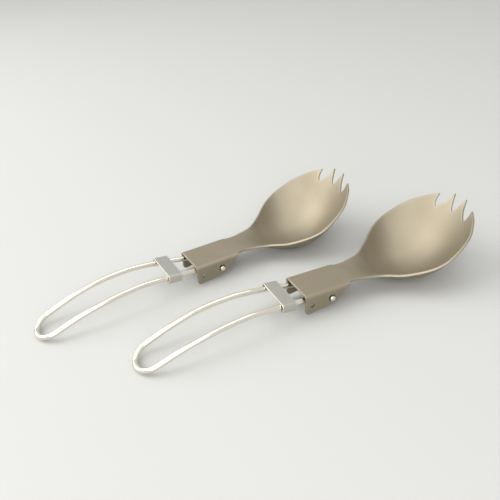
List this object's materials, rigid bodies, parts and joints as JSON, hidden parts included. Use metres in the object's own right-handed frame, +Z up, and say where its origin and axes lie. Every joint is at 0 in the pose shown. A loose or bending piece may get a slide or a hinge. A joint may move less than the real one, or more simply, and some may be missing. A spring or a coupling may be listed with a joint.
{
  "type": "folding sporks",
  "caption": "Pair of folding camping sporks: a deep tined bowl on a folded channel, a hinged wire loop handle and a sliding lock collar on each.",
  "frame": {"origin": "on the table, below the middle of the pair's bounding box", "axes": "+X along the sporks towards their tines, +Y to the rear spork, +Z up"},
  "size_m": [0.1794, 0.0906, 0.029],
  "materials": {
    "titanium_sheet": "bead blasted titanium",
    "steel_wire": "polished stainless steel wire",
    "steel_strip": "satin stainless steel strip"
  },
  "bodies": {
    "rear_head": {"rear_spork_head": "titanium_sheet"},
    "rear_handle": {"rear_spork_wire_handle": "steel_wire"},
    "rear_collar": {"rear_spork_lock_collar": "steel_strip"},
    "front_head": {"front_spork_head": "titanium_sheet"},
    "front_handle": {"front_spork_wire_handle": "steel_wire"},
    "front_collar": {"front_spork_lock_collar": "steel_strip"}
  },
  "joints": [
    {"name": "rear_handle_fold", "type": "hinge", "parent": "rear_head", "child": "rear_handle", "pos_m": [-0.00932, 0.02178, 0.00547], "axis": [0.0393, -0.9992, 0], "range_deg": [0, 172]},
    {"name": "rear_collar_slide", "type": "slide", "parent": "rear_handle", "child": "rear_collar", "axis": [0.987, 0.0388, -0.1559], "range_m": [-0.0025, 0.006]},
    {"name": "front_spork_lift", "type": "slide", "parent": "rear_head", "child": "front_head", "axis": [0, 0, 1], "range_m": [0, 0.05]},
    {"name": "front_handle_fold", "type": "hinge", "parent": "front_head", "child": "front_handle", "pos_m": [0.01858, -0.02177, 0.00648], "axis": [-0.0393, -0.9992, 0], "range_deg": [-2, 170]},
    {"name": "front_collar_slide", "type": "slide", "parent": "front_handle", "child": "front_collar", "axis": [0.9891, -0.0389, -0.1421], "range_m": [-0.005, 0.0034]}
  ]
}
